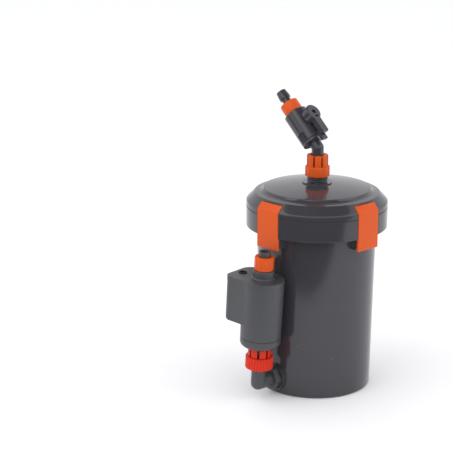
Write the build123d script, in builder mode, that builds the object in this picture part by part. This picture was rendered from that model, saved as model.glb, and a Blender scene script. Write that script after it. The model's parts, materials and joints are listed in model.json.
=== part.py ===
"""External canister filter for an aquarium: a clipped lid, a swivelling inlet valve and a side pump.

Millimetres, +Z up. The origin is on the barrel's axis, on the surface that the filter stands on.
"""

from math import cos, radians, sin, sqrt
import os

from build123d import *

os.makedirs("parts", exist_ok=True)

# Barrel
barrel_r = 63.9  # outside, at the foot
barrel_draft = 3.8  # how much wider the wall stands under the flange
barrel_height = 210.6  # up to the joint with the lid
barrel_wall = 2.8
barrel_floor = 3.5
foot_fillet = 2.5
flange_depth = 22.7
flange_reach = 12.3
flange_chamfer = 0.6
flange_web = 3.5
flange_skin = 3.0
flange_groove = 4.0
pad_setback = 4.2  # from the flange's rim to the flats that the clips lie on

# Lid
rim_rise = 6.8
rim_round = 3.0
cone_reach = 9.3
cone_rise = 9.5
cove_reach = 10.1
cove_rise = 4.6
cove_lip = 2.2
cove_floor = 1.2
cove_round = 4.0
crown_rise = 5.4
lid_wall = 3.0
skirt_depth = 16.0
skirt_clearance = 0.4
boss_r = 17.0
boss_rise = 1.0
neck_r = 11.2
neck_bore_r = 8.2
neck_rise = 18.0  # above the crown's boss
skirt_wall = 4.5
seal_section = 1.5
seal_squeeze_gap = 0.05

# Clips
clip_angles = {"front_left": 225, "front_right": 315, "back_right": 45, "back_left": 135}
clip_width = 32.0
clip_thickness = 2.6
clip_gap = 0.4  # behind the clip
pivot_inset = 2.9  # from the flats to the hinge pin
pivot_drop = 9.7  # from the flange's underside to the hinge pin
clip_tail = 4.0
clip_tip = 8.9  # length of the part that lies in the lid's cone
clip_fold = 0.3  # how far the outer fold is above the lid's rim
pocket_clearance = 0.6  # beside the clip, in the flange and in the lid
clip_edge = 0.5
ear_r = 2.6
pin_r = 1.2
pin_clearance = 0.05
knuckle_width = 12.0
knuckle_r = 2.5
knuckle_clearance = 0.35
slot_depth = 3.4

# Filter media, from the bottom up
support_height = 40.0
grid_thickness = 3.0
grid_hole_r = 3.0
grid_pitch = 9.6
grid_rings = 5
floss_thickness = 14.0
media_gap = 0.3
media_clearance = 0.5
head_room = 14.0  # between the top grid and the lid's skirt
handle_rise = 13.0
handle_width = 34.0
handle_bar = 4.0
leg_count = 6
leg_r = 3.0

# Inlet: nut, elbow and shut-off valve
elbow_r = 6.95
elbow_bore_r = 4.6
bend_rise = 39.8  # above the lid's crown
flange_collar_r = 10.4
flange_collar = 3.0
spigot_depth = 10.0
elbow_seal_r = 1.0
spigot_clearance = 0.08
nut_lift = 6.7  # from the neck's boss to the nut
inlet_band_r = 13.9
inlet_band = 11.2
inlet_crown_r = 12.1
inlet_crown = 12.9
thread_clearance = 0.25
collet_gap = 0.4
crown_slots = 8
crown_slot_width = 1.9
inlet_slot_angle = -66.0

valve_azimuth = 138.4
valve_tilt = 45.0
valve_start = 10.5
valve_length = 38.2
valve_r = 13.5
valve_shell = 1.6
socket_r = 8.3
socket_wall = 1.6
socket_depth = 12.5
ball_station = 33.2
ball_r = 7.0
ball_bore_r = 4.2
ball_clearance = 0.06
seat_width = 1.5
seat_bore_r = 4.6
seat_rim_r = 6.0
body_edge = 0.8
nipple_r = 8.4
nipple_length = 9.4
hose_nut_r = 10.7
hose_nut_length = 13.7
nut_edge = 0.8
barb_neck_r = 5.0
barb_r = 6.6
barb_tip_r = 5.7
barb_land = 3.0
barb_taper = 7.0
barb_start = 20.3  # from the valve's end
barb_bore_r = 3.9
barb_flange_r = 7.4
barb_flange = 1.6

collar_r = 13.4
collar_thickness = 2.6
collar_gap = 0.3
window_width = 9.6
window_length = 10.5
tongue_width = 6.2
tongue_thickness = 1.3
tab_width = 8.0
tab_reach = 3.4
tab_length = 9.5
tab_over = 2.2

hub_r = 9.6
hub_bottom = 13.9
hub_top = 24.0
stem_boss_r = 5.6
stem_boss_top = 15.0
stem_r = 2.6
stem_seal_r = 4.2
stem_seal_height = 1.6
hub_edge = 1.2
tip_round = 1.5
lever_length = 26.5
lever_width = 9.4
lever_bottom = 17.3
lever_top_drop = 0.6  # from the hub's face to the arm's
root_pocket = 2.6
root_pocket_depth = 1.6
screw_r = 2.2
screw_core_r = 1.2
screw_head = 3.0
screw_sink = 1.8
screw_slot = 0.7
screw_length = 6.0

# Outlet port and elbow
port_angle = 225
port_height = 19.4
port_boss_r = 16.0
port_boss_out = 3.2
port_boss_in = 2.6
port_tube_r = 9.4
port_bore_r = 6.5
port_clearance = 0.1
port_flange_r = 13.0
port_flange = 3.0
gasket_thickness = 1.6
locknut_flats = 24.0
locknut_width = 7.0
outlet_tube_r = 8.2
outlet_bore_r = 5.2
elbow_insert = 8.0
corner_gap = 1.25  # between the pump's top and the barrel's wall
cup_r = 12.4
cup_start = 21.5
cup_top = 31.2
cup_flare = 3.0

# Pump
pump_lean = 3.5
motor_inset = 1.2  # its outer side from the chamber's
motor_turn = 6.0  # from the tangent of the barrel towards the outside
pump_r = 23.5
pump_draft = 0.7
pump_wall = 2.3
pump_inlet_start = 19.4
red_band_r = 15.6
red_band = 14.0
red_crown_r = 13.3
red_crown = 10.4
red_slot_width = 2.6
red_slot_angle = -12.0
cap_start = 45.6
cap_height = 11.6
cap_round = 6.0
cap_joint = 0.5
cap_seal_r = 0.8
plug_wall = 3.0
inlet_neck_r = 8.2
inlet_neck_bore_r = 5.5
inlet_flange_r = 11.4
inlet_flange = 2.2
housing_top = 119.9
housing_roof = 3.0
cover_height = 5.0
cover_lip = 0.3
motor_reach = 14.1  # from the chamber's side to the far end
motor_height = 51.5
motor_back_round = 13.0
motor_front_round = 8.0
motor_foot_round = 8.5  # under the far end
outlet_hole_r = 6.0
rotor_height = 94.4
rotor_r = 7.8
rotor_well_r = 8.4
rotor_well_wall = 1.2
rotor_well_reach = 9.5  # from the chamber's side to its blind end
rotor_start = 12.0
shaft_r = 1.25
shaft_clearance = 0.05
bushing_r = 2.9
bushing_length = 3.0
front_bearing = 11.5
impeller_r = 14.0
impeller_width = 9.0
impeller_plate = 1.6
impeller_hub_r = 4.2
blade_thickness = 1.6
blade_count = 6
stator_gap = 2.2
core_lift = 1.7  # from the cavity's floor to the core
core_width = 29.0
core_thickness = 7.2
core_leg = 5.0
core_rise = 18.5
coil_length = 18.0
bobbin_wall = 1.0
bobbin_flange = 2.0
winding_build = 1.8
coil_window = 4.0
potting_top_gap = 1.0
collar_height = 10.7
outlet_collar_r = 12.2
collar_flare = 1.4
outlet_nut_r = 11.0
outlet_nut_height = 15.35
spigot_r = 6.5
spigot_neck_r = 6.0
spigot_bore_r = 4.6
spigot_height = 5.5
spigot_flange_r = 8.0
spigot_flange = 1.6
grommet_r = 3.9
grommet_bore_r = 2.9
grommet_lip = 0.9
cord_hole_x = 1.8
cord_hole_out = 4.85  # from the chamber's side


def spoke(angle):
    """Frame on the canister's axis whose x points outwards at this angle."""
    return Plane((0, 0, 0), x_dir=(cos(radians(angle)), sin(radians(angle)), 0), z_dir=(0, 0, 1))


def section(frame):
    """Half plane through a frame's axis: sketch x is the radius and sketch y the height."""
    return Plane(frame.origin, x_dir=frame.x_dir, z_dir=-frame.y_dir)


def axis_of(frame):
    return Axis(frame.origin, frame.z_dir)


def write(piece, label):
    """Name a finished piece and write its file."""
    piece.part.label = label
    export_step(piece.part, f"parts/{label}.step")


def turned(label, frame, outline):
    """A turned piece: a closed outline of (radius, height) points about the frame's axis."""
    with BuildPart() as piece:
        with BuildSketch(section(frame)):
            with BuildLine():
                Polyline(*outline, close=True)
            make_face()
        revolve(axis=axis_of(frame))
    write(piece, label)
    return piece.part


def o_ring(label, frame, mean_r, section_r, height):
    """A rubber ring with a round section."""
    with BuildPart() as piece:
        with BuildSketch(section(frame)):
            with Locations((mean_r, height)):
                Circle(section_r)
        revolve(axis=axis_of(frame))
    write(piece, label)


def groove(frame, outer_r, section_r, height):
    """Sketch of a square groove for a ring of this section, whose mouth reaches outer_r."""
    with BuildSketch(section(frame), mode=Mode.PRIVATE) as cut:
        with Locations((outer_r, height)):
            Rectangle(4 * section_r, 2 * section_r + 0.1)
    return cut.sketch


def collet_nut(
    label, frame, base, band_r, band, crown_r, crown, thread_r, seat, lip_r, slot_width, first_slot
):
    """A nut with a wide band below and a slotted crown above. seat is where its inner shoulder bears."""
    shoulder = base + band
    top = shoulder + crown
    edge = 0.8
    with BuildPart() as piece:
        with BuildSketch(section(frame)):
            with BuildLine():
                Polyline(
                    (thread_r, base),
                    (band_r - edge, base),
                    (band_r, base + edge),
                    (band_r, shoulder - edge),
                    (band_r - edge, shoulder),
                    (crown_r, shoulder),
                    (crown_r, top - edge),
                    (crown_r - edge, top),
                    (lip_r, top),
                    (lip_r, seat),
                    (thread_r, seat),
                    close=True,
                )
            make_face()
        revolve(axis=axis_of(frame))
        with BuildSketch(frame.offset(shoulder)):
            with PolarLocations((lip_r + crown_r) / 2, crown_slots, start_angle=first_slot):
                Rectangle(crown_r - lip_r + 2 * edge, slot_width)
        extrude(amount=crown + edge, mode=Mode.SUBTRACT)
    write(piece, label)


# ---- places that several pieces share
barrel_top_r = barrel_r + barrel_draft
flange_r = barrel_top_r + flange_reach
flange_bottom = barrel_height - flange_depth
bore_r = barrel_top_r - barrel_wall
pad_distance = flange_r - pad_setback
pivot_r = pad_distance - pivot_inset
pivot_z = flange_bottom - pivot_drop
lug_half = clip_width / 2 - 0.4
clip_pocket_half = clip_width / 2 + pocket_clearance
plate_inner = pad_distance + clip_gap
plate_outer = plate_inner + clip_thickness
cone_length = sqrt(cone_reach**2 + cone_rise**2)
cone_in = cone_reach / cone_length
cone_up = cone_rise / cone_length
fold_outer = barrel_height + rim_rise + clip_fold
fold_inner = fold_outer - clip_thickness * (1 - cone_up) / cone_in


def on_fold(along, out):
    """Point beside the clip's inner fold: along its tip towards the lid's axis, and out from the cone."""
    return (plate_inner - along * cone_in + out * cone_up, fold_inner + along * cone_up + out * cone_in)


def wall_r(height):
    """Outside radius of the barrel's drafted wall."""
    return barrel_r + barrel_draft * height / flange_bottom


canister = spoke(0)

# ---- barrel
with BuildPart() as barrel:
    with BuildSketch(Plane.XZ):
        with BuildLine():
            Polyline(
                (0, 0),
                (barrel_r, 0),
                (barrel_top_r, flange_bottom),
                (flange_r - flange_chamfer, flange_bottom),
                (flange_r, flange_bottom + flange_chamfer),
                (flange_r, barrel_height - flange_chamfer / 2),
                (flange_r - flange_chamfer / 2, barrel_height),
                (bore_r, barrel_height),
                (bore_r, flange_bottom),
                (wall_r(barrel_floor) - barrel_wall, barrel_floor),
                (0, barrel_floor),
                close=True,
            )
        make_face()
    revolve(axis=Axis.Z)
    foot_edges = barrel.edges().filter_by(GeomType.CIRCLE).group_by(Axis.Z)[0]
    fillet(foot_edges.sort_by(SortBy.RADIUS)[-1], foot_fillet)
    # groove that keeps the flange hollow
    with BuildSketch(Plane.XY.offset(flange_bottom - flange_chamfer)):
        Circle(pad_distance - flange_skin)
        Circle(pad_distance - flange_skin - flange_groove, mode=Mode.SUBTRACT)
    extrude(amount=flange_depth - flange_web, mode=Mode.SUBTRACT)
    # lugs that carry the clips' pins, under the flange
    for angle in clip_angles.values():
        with BuildSketch(section(spoke(angle))):
            with BuildLine():
                inner = barrel_top_r - barrel_wall + 0.3
                Line((inner, pivot_z - ear_r), (pivot_r, pivot_z - ear_r))
                RadiusArc((pivot_r, pivot_z - ear_r), (pivot_r + ear_r, pivot_z), -ear_r)
                Polyline(
                    (pivot_r + ear_r, pivot_z),
                    (pivot_r + ear_r, barrel_height - flange_web),
                    (inner, barrel_height - flange_web),
                    (inner, pivot_z - ear_r),
                )
            make_face()
        extrude(amount=lug_half, both=True)
        with BuildSketch(section(spoke(angle))):
            with Locations((pivot_r + slot_depth, pivot_z)):
                Rectangle(4 * slot_depth, 2 * slot_depth + 1)
        extrude(amount=knuckle_width / 2 + knuckle_clearance, both=True, mode=Mode.SUBTRACT)
        with BuildSketch(section(spoke(angle))):
            with Locations((pivot_r, pivot_z)):
                Circle(pin_r)
        extrude(amount=lug_half + 1, both=True, mode=Mode.SUBTRACT)
        # flat that the clip lies on
        with BuildSketch(section(spoke(angle))):
            with Locations((pad_distance + flange_reach, barrel_height)):
                Rectangle(2 * flange_reach, 2 * flange_depth + 1)
        extrude(amount=clip_pocket_half, both=True, mode=Mode.SUBTRACT)
    # boss round the outlet port, inside and outside the wall
    port_wall = wall_r(port_height)
    port_inner = port_wall - barrel_wall - port_boss_in
    port_outer = port_wall + port_boss_out
    port_frame = Plane((0, 0, port_height), x_dir=(0, 0, 1), z_dir=spoke(port_angle).x_dir)
    with BuildSketch(port_frame.offset(port_inner)):
        Circle(port_boss_r)
    extrude(amount=port_outer - port_inner)
    with BuildSketch(port_frame.offset(port_inner - port_boss_in)):
        Circle(port_tube_r + port_clearance)
    extrude(amount=port_outer - port_inner + 2 * port_boss_in, mode=Mode.SUBTRACT)
write(barrel, "barrel")

# ---- hinge pins, one for each clip
with BuildPart() as clip_pins:
    for angle in clip_angles.values():
        with BuildSketch(section(spoke(angle))):
            with Locations((pivot_r, pivot_z)):
                Circle(pin_r)
        extrude(amount=lug_half - 0.5, both=True)
write(clip_pins, "clip_pins")

# ---- lid
rim_top = barrel_height + rim_rise
cone_top_r = flange_r - cone_reach
cone_top = rim_top + cone_rise
dome_r = cone_top_r - cove_reach
dome_edge = cone_top + cove_rise
crown = dome_edge + crown_rise
boss_top = crown + boss_rise
neck_top = boss_top + neck_rise
skirt_r = bore_r - skirt_clearance
skirt_bottom = barrel_height - skirt_depth
seal_height = barrel_height - skirt_depth / 2
pocket_top = rim_top - lid_wall / 2

dome_sphere_r = (dome_r**2 + crown_rise**2) / (2 * crown_rise)
dome_sag = (dome_r / 2) ** 2 / (2 * dome_sphere_r)  # how far the dome has fallen half way out

with BuildPart() as lid:
    with BuildSketch(Plane.XZ) as lid_profile:
        with BuildLine():
            Polyline(
                (skirt_r, barrel_height),
                (flange_r, barrel_height),
                (flange_r, rim_top),
                (cone_top_r, cone_top),
                (dome_r + cove_lip, cone_top + cove_floor),
                (dome_r, dome_edge),
            )
            ThreePointArc((dome_r, dome_edge), (dome_r / 2, crown - dome_sag), (0, crown))
            Line((0, crown), (0, crown - lid_wall))
            ThreePointArc(
                (0, crown - lid_wall),
                (dome_r / 2, crown - dome_sag - lid_wall),
                (dome_r - lid_wall, dome_edge - lid_wall),
            )
            Polyline(
                (dome_r - lid_wall, dome_edge - lid_wall),
                (skirt_r - skirt_wall, cone_top - lid_wall),
                (skirt_r - skirt_wall, skirt_bottom),
                (skirt_r, skirt_bottom),
                (skirt_r, barrel_height),
            )
        make_face()
        fillet(lid_profile.vertices().sort_by_distance((flange_r, rim_top))[0], rim_round)
        cove_corner = (dome_r + cove_lip, cone_top + cove_floor)
        fillet(lid_profile.vertices().sort_by_distance(cove_corner)[0], cove_round)
    revolve(axis=Axis.Z)
    # hollow under the rim
    with BuildSketch(Plane.XY.offset(barrel_height)):
        Circle(pad_distance - flange_skin)
        Circle(skirt_r + lid_wall, mode=Mode.SUBTRACT)
    extrude(amount=pocket_top - barrel_height, mode=Mode.SUBTRACT)
    # groove for the seal
    revolve(groove(canister, bore_r, seal_section, seal_height), axis=Axis.Z, mode=Mode.SUBTRACT)
    for angle in clip_angles.values():
        with BuildSketch(section(spoke(angle))):
            with Locations((pad_distance + flange_reach, rim_top)):
                Rectangle(2 * flange_reach, 4 * rim_rise)
        extrude(amount=clip_pocket_half, both=True, mode=Mode.SUBTRACT)
        # pocket in the cone that the clip's tip lies in
        with BuildSketch(section(spoke(angle))):
            with BuildLine():
                Polyline(
                    on_fold(-clip_tip, -clip_gap),
                    on_fold(clip_tip + clip_gap, -clip_gap),
                    on_fold(clip_tip + clip_gap, clip_tip),
                    on_fold(-clip_tip, clip_tip),
                    close=True,
                )
            make_face()
        extrude(amount=clip_pocket_half, both=True, mode=Mode.SUBTRACT)
    with BuildSketch(Plane.XY.offset(crown - lid_wall)):
        Circle(boss_r)
    extrude(amount=lid_wall + boss_rise)
    with BuildSketch(Plane.XY.offset(crown)):
        Circle(neck_r)
    extrude(amount=neck_top - crown)
    with BuildSketch(Plane.XY.offset(crown - 2 * lid_wall)):
        Circle(neck_bore_r)
    extrude(amount=neck_top - crown + 3 * lid_wall, mode=Mode.SUBTRACT)
write(lid, "lid")

o_ring("lid_seal", canister, bore_r - seal_section, seal_section - seal_squeeze_gap, seal_height)

# ---- clips: a plate over the flats, a tip that lies on the lid's cone, and a knuckle on the pin
for corner, angle in clip_angles.items():
    with BuildPart() as clip:
        with BuildSketch(section(spoke(angle))):
            with BuildLine():
                Polyline(
                    (plate_inner, pivot_z - clip_tail),
                    (plate_outer, pivot_z - clip_tail),
                    (plate_outer, fold_outer),
                    on_fold(clip_tip, clip_thickness),
                    on_fold(clip_tip, 0),
                    (plate_inner, fold_inner),
                    close=True,
                )
            make_face()
        extrude(amount=clip_width / 2, both=True)
        fillet(clip.edges(), clip_edge)
        with BuildSketch(section(spoke(angle))):
            with Locations((pivot_r, pivot_z)):
                Circle(knuckle_r)
            with Locations(((pivot_r + plate_inner) / 2, pivot_z)):
                Rectangle(plate_inner - pivot_r, 2 * knuckle_r)
        extrude(amount=knuckle_width / 2, both=True)
        with BuildSketch(section(spoke(angle))):
            with Locations((pivot_r, pivot_z)):
                Circle(pin_r + pin_clearance)
        extrude(amount=knuckle_width, both=True, mode=Mode.SUBTRACT)
    write(clip, f"clip_{corner}")


# ---- filter media and their grids
def bore_at(height):
    """Inside radius of the barrel's wall."""
    return wall_r(height) - barrel_wall


def disc_stack(label, bottom, top):
    """A round pad that fills the barrel between two heights."""
    return turned(
        label,
        canister,
        [
            (0, bottom),
            (bore_at(bottom) - media_clearance, bottom),
            (bore_at(top) - media_clearance, top),
            (0, top),
        ],
    )


support_top = support_height + grid_thickness
with BuildPart() as media_support:
    with BuildSketch(Plane.XY.offset(support_height)):
        Circle(bore_at(support_height) - media_clearance)
        for ring in range(1, grid_rings + 1):
            with PolarLocations(ring * grid_pitch, 6 * ring):
                Circle(grid_hole_r, mode=Mode.SUBTRACT)
    extrude(amount=grid_thickness)
    with BuildSketch(Plane.XY.offset(barrel_floor)):
        with PolarLocations(bore_at(barrel_floor) - 4 * leg_r, leg_count):
            Circle(leg_r)
    extrude(amount=support_height - barrel_floor)
write(media_support, "media_support")

grid_bottom = skirt_bottom - head_room
floss_bottom = support_top + media_gap
sponge_start = floss_bottom + floss_thickness + media_gap
sponge_pitch = (grid_bottom - sponge_start) / 3
disc_stack("floss_pad", floss_bottom, floss_bottom + floss_thickness)
for number, colour in enumerate(["yellow", "blue", "black"]):
    bottom = sponge_start + number * sponge_pitch
    disc_stack(f"sponge_{colour}", bottom, bottom + sponge_pitch - media_gap)

with BuildPart() as top_grid:
    with BuildSketch(Plane.XY.offset(grid_bottom)):
        Circle(bore_at(grid_bottom) - media_clearance)
        for ring in range(1, grid_rings + 1):
            with PolarLocations(ring * grid_pitch, 6 * ring):
                Circle(grid_hole_r, mode=Mode.SUBTRACT)
    extrude(amount=grid_thickness)
    with BuildSketch(Plane.XZ):
        with Locations((0, grid_bottom + grid_thickness + handle_rise / 2)):
            Rectangle(handle_width, handle_rise)
            Rectangle(handle_width - 2 * handle_bar, handle_rise - 2 * handle_bar, mode=Mode.SUBTRACT)
    extrude(amount=handle_bar / 2, both=True)
write(top_grid, "top_grid")

# ---- inlet elbow: a spigot in the lid's neck, a collar under the nut, and a 45 degree bend
bend = crown + bend_rise
lean = radians(valve_tilt)
azimuth = radians(valve_azimuth)
valve_dir = Vector(sin(lean) * cos(azimuth), sin(lean) * sin(azimuth), cos(lean))
lever_dir = Vector(-cos(lean) * cos(azimuth), -cos(lean) * sin(azimuth), sin(lean))
valve = Plane((0, 0, bend), x_dir=lever_dir, z_dir=valve_dir)
collar_top = neck_top + flange_collar
valve_end = valve_start + valve_length
elbow_spigot_r = neck_bore_r - spigot_clearance
valve_spigot_r = socket_r - spigot_clearance
spigot_end = valve_start + socket_depth - collar_gap
collar_base = valve_start - collar_gap - collar_thickness
seal_depths = (elbow_seal_r * 3, elbow_seal_r * 6)
valve_seal_at = spigot_end - 3 * elbow_seal_r

with BuildPart() as inlet_elbow:
    with BuildSketch(section(canister)):
        with BuildLine():
            Polyline(
                (0, neck_top - spigot_depth),
                (elbow_spigot_r, neck_top - spigot_depth),
                (elbow_spigot_r, neck_top),
                (flange_collar_r, neck_top),
                (flange_collar_r, collar_top),
                (elbow_r, collar_top),
                (elbow_r, bend),
                (0, bend),
                close=True,
            )
        make_face()
    revolve(axis=Axis.Z)
    with BuildSketch(valve):
        Circle(elbow_r)
    extrude(amount=valve_start)
    with BuildSketch(valve.offset(valve_start)):
        Circle(valve_spigot_r)
    extrude(amount=spigot_end - valve_start)
    with Locations((0, 0, bend)):
        Sphere(elbow_r)
    for depth in seal_depths:
        seal_groove = groove(canister, neck_bore_r, elbow_seal_r, neck_top - depth)
        revolve(seal_groove, axis=Axis.Z, mode=Mode.SUBTRACT)
    revolve(groove(valve, socket_r, elbow_seal_r, valve_seal_at), axis=axis_of(valve), mode=Mode.SUBTRACT)
    with BuildSketch(Plane.XY.offset(neck_top - spigot_depth - 1)):
        Circle(elbow_bore_r)
    extrude(amount=bend - neck_top + spigot_depth + 1, mode=Mode.SUBTRACT)
    with BuildSketch(valve):
        Circle(elbow_bore_r)
    extrude(amount=spigot_end + 1, mode=Mode.SUBTRACT)
    with Locations((0, 0, bend)):
        Sphere(elbow_bore_r, mode=Mode.SUBTRACT)
write(inlet_elbow, "inlet_elbow")

ring_r = elbow_seal_r - seal_squeeze_gap
with BuildPart() as elbow_seals:
    for depth in seal_depths:
        with BuildSketch(section(canister)):
            with Locations((neck_bore_r - elbow_seal_r, neck_top - depth)):
                Circle(ring_r)
        revolve(axis=Axis.Z)
write(elbow_seals, "elbow_seals")
o_ring("valve_seal", valve, socket_r - elbow_seal_r, ring_r, valve_seal_at)

# ---- nut that clamps the elbow on the lid's neck
nut_base = boss_top + nut_lift
collet_nut(
    "inlet_nut",
    canister,
    nut_base,
    inlet_band_r,
    inlet_band,
    inlet_crown_r,
    inlet_crown,
    neck_r + thread_clearance,
    collar_top + thread_clearance,
    elbow_r + collet_gap,
    crown_slot_width,
    inlet_slot_angle,
)

# ---- release collar that slides on the elbow, with two tongues in the valve body's windows
with BuildPart() as release_collar:
    with BuildSketch(valve.offset(collar_base)):
        Circle(collar_r)
        Circle(elbow_r + pin_clearance, mode=Mode.SUBTRACT)
    extrude(amount=collar_thickness)
    with BuildSketch(valve.offset(collar_base + collar_thickness / 2)):
        for side in (-1, 1):
            with Locations((0, side * (collar_r - tongue_thickness / 2 - collar_gap))):
                Rectangle(tongue_width, tongue_thickness)
    extrude(amount=collar_thickness / 2 + window_length - collar_gap)
    with BuildSketch(valve.offset(collar_base + collar_thickness - tab_length)):
        with Locations((collar_r + tab_reach / 2 + collar_gap / 2, 0)):
            Rectangle(tab_reach, tab_width)
    extrude(amount=tab_length + tab_over)
    with BuildSketch(valve.offset(collar_base)):
        with Locations((collar_r - tab_reach / 2, 0)):
            Rectangle(2 * tab_reach, tab_width)
    extrude(amount=collar_thickness)
write(release_collar, "release_collar")

# ---- valve body: shroud, socket for the elbow, ball chamber, stem boss and threaded nipple
shroud_r = valve_r - valve_shell
shroud_depth = window_length + 2 * collar_gap
chamber_r = ball_r + ball_clearance + seat_width / 3
chamber_half = ball_r + seat_width
nipple_end = valve_end + nipple_length

with BuildPart() as valve_body:
    with BuildSketch(section(valve)):
        with BuildLine():
            Polyline(
                (socket_r, valve_start + collar_gap),
                (socket_r + socket_wall, valve_start + collar_gap),
                (socket_r + socket_wall, valve_start + shroud_depth),
                (shroud_r, valve_start + shroud_depth),
                (shroud_r, valve_start),
                (valve_r - body_edge, valve_start),
                (valve_r, valve_start + body_edge),
                (valve_r, valve_end - body_edge),
                (valve_r - body_edge, valve_end),
                (nipple_r, valve_end),
                (nipple_r, nipple_end),
                (ball_bore_r, nipple_end),
                (ball_bore_r, ball_station + chamber_half),
                (chamber_r, ball_station + chamber_half),
                (chamber_r, ball_station - chamber_half),
                (ball_bore_r, ball_station - chamber_half),
                (ball_bore_r, valve_start + socket_depth),
                (socket_r, valve_start + socket_depth),
                close=True,
            )
        make_face()
    revolve(axis=axis_of(valve))
    # boss and bore for the stem
    stem_axis = Plane(valve.origin + valve.z_dir * ball_station, x_dir=valve.z_dir, z_dir=valve.x_dir)
    with BuildSketch(stem_axis.offset(chamber_r + 1)):
        Circle(stem_boss_r)
    extrude(amount=stem_boss_top - chamber_r - 1)
    with BuildSketch(stem_axis):
        Circle(stem_r + pin_clearance)
    extrude(amount=stem_boss_top + 1, mode=Mode.SUBTRACT)
    with BuildSketch(stem_axis.offset(stem_boss_top - stem_seal_height)):
        Circle(stem_seal_r)
    extrude(amount=stem_seal_height + 1, mode=Mode.SUBTRACT)
    # windows, open at the lower end
    with BuildSketch(valve.offset(valve_start - 1)):
        for side in (-1, 1):
            with Locations((0, side * valve_r)):
                Rectangle(window_width, 2 * (valve_r - shroud_r) + 0.2)
    extrude(amount=window_length + 1, mode=Mode.SUBTRACT)
write(valve_body, "valve_body")

with BuildPart() as valve_seats:
    for side in (-1, 1):
        seat_contact = ball_r + ball_clearance + 0.08
        with BuildSketch(section(valve)):
            with BuildLine():
                Polyline(
                    (seat_bore_r, ball_station + side * chamber_half),
                    (chamber_r, ball_station + side * chamber_half),
                    (chamber_r, ball_station + side * sqrt(seat_contact**2 - seat_rim_r**2)),
                    (seat_rim_r, ball_station + side * sqrt(seat_contact**2 - seat_rim_r**2)),
                    (seat_bore_r, ball_station + side * sqrt(seat_contact**2 - seat_bore_r**2)),
                    close=True,
                )
            make_face()
        revolve(axis=axis_of(valve))
write(valve_seats, "valve_seats")

with BuildPart() as stem_seal:
    with BuildSketch(stem_axis.offset(stem_boss_top - stem_seal_height)):
        Circle(stem_seal_r)
        Circle(stem_r + pin_clearance, mode=Mode.SUBTRACT)
    extrude(amount=stem_seal_height)
write(stem_seal, "stem_seal")

# ---- ball with its stem, turned by the lever
with BuildPart() as valve_ball:
    with Locations(Location(stem_axis)):
        Sphere(ball_r)
    with BuildSketch(stem_axis):
        Circle(stem_r)
    extrude(amount=hub_top - screw_head)
    with BuildSketch(valve.offset(ball_station - ball_r - 1)):
        Circle(ball_bore_r)
    extrude(amount=2 * ball_r + 2, mode=Mode.SUBTRACT)
    with BuildSketch(stem_axis.offset(hub_top - screw_head - screw_length)):
        Circle(screw_core_r)
    extrude(amount=screw_length + 1, mode=Mode.SUBTRACT)
write(valve_ball, "valve_ball")

with BuildPart() as lever:
    with BuildSketch(stem_axis.offset(hub_bottom)):
        Circle(hub_r)
    extrude(amount=hub_top - hub_bottom)
    hub_circles = lever.edges().filter_by(GeomType.CIRCLE)
    fillet(hub_circles.sort_by(Axis(stem_axis.origin, stem_axis.z_dir))[-1], hub_edge)
    with BuildSketch(stem_axis.offset(lever_bottom)):
        with Locations((-lever_length / 2, 0)):
            Rectangle(lever_length, lever_width)
    extrude(amount=hub_top - lever_top_drop - lever_bottom)
    tip_edges = lever.edges().filter_by(Axis(stem_axis.origin, stem_axis.y_dir)).sort_by(
        Axis(stem_axis.origin, stem_axis.x_dir)
    )[:2]
    fillet(tip_edges, tip_round)
    with BuildSketch(stem_axis.offset(hub_bottom - 1)):
        Circle(stem_boss_r + pin_clearance + thread_clearance)
    extrude(amount=stem_boss_top - hub_bottom + 1 + thread_clearance, mode=Mode.SUBTRACT)
    with BuildSketch(stem_axis):
        Circle(stem_r)
    extrude(amount=hub_top, mode=Mode.SUBTRACT)
    with BuildSketch(stem_axis.offset(hub_top - screw_head)):
        Circle(screw_r)
    extrude(amount=screw_head + 1, mode=Mode.SUBTRACT)
    # pocket at the arm's root
    with BuildSketch(stem_axis.offset(hub_top - root_pocket_depth)):
        with Locations((root_pocket / 2 + screw_r - hub_r, 0)):
            Rectangle(root_pocket, lever_width / 2)
    extrude(amount=root_pocket_depth + 1, mode=Mode.SUBTRACT)
write(lever, "lever")

with BuildPart() as lever_screw:
    with BuildSketch(stem_axis.offset(hub_top - screw_head - screw_length)):
        Circle(screw_core_r)
    extrude(amount=screw_length)
    with BuildSketch(stem_axis.offset(hub_top - screw_head)):
        Circle(screw_r)
    extrude(amount=screw_head - screw_sink)
    with BuildSketch(stem_axis.offset(hub_top - screw_sink - screw_slot)):
        Rectangle(2 * screw_r + 1, screw_slot)
    extrude(amount=screw_slot + 1, mode=Mode.SUBTRACT)
write(lever_screw, "lever_screw")

# ---- hose barb and the nut that holds it on the nipple
barb_base = valve_end + barb_start
turned(
    "hose_barb",
    valve,
    [
        (barb_bore_r, nipple_end),
        (barb_flange_r, nipple_end),
        (barb_flange_r, nipple_end + barb_flange),
        (barb_neck_r, nipple_end + barb_flange),
        (barb_neck_r, barb_base),
        (barb_r, barb_base),
        (barb_r, barb_base + barb_land),
        (barb_tip_r, barb_base + barb_land + barb_taper),
        (barb_bore_r, barb_base + barb_land + barb_taper),
    ],
)
turned(
    "hose_nut",
    valve,
    [
        (nipple_r + thread_clearance, valve_end + thread_clearance),
        (hose_nut_r - nut_edge, valve_end + thread_clearance),
        (hose_nut_r, valve_end + thread_clearance + nut_edge),
        (hose_nut_r, valve_end + hose_nut_length - nut_edge),
        (hose_nut_r - nut_edge, valve_end + hose_nut_length),
        (barb_neck_r + collet_gap, valve_end + hose_nut_length),
        (barb_neck_r + collet_gap, nipple_end + barb_flange + thread_clearance),
        (nipple_r + thread_clearance, nipple_end + barb_flange + thread_clearance),
    ],
)

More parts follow.
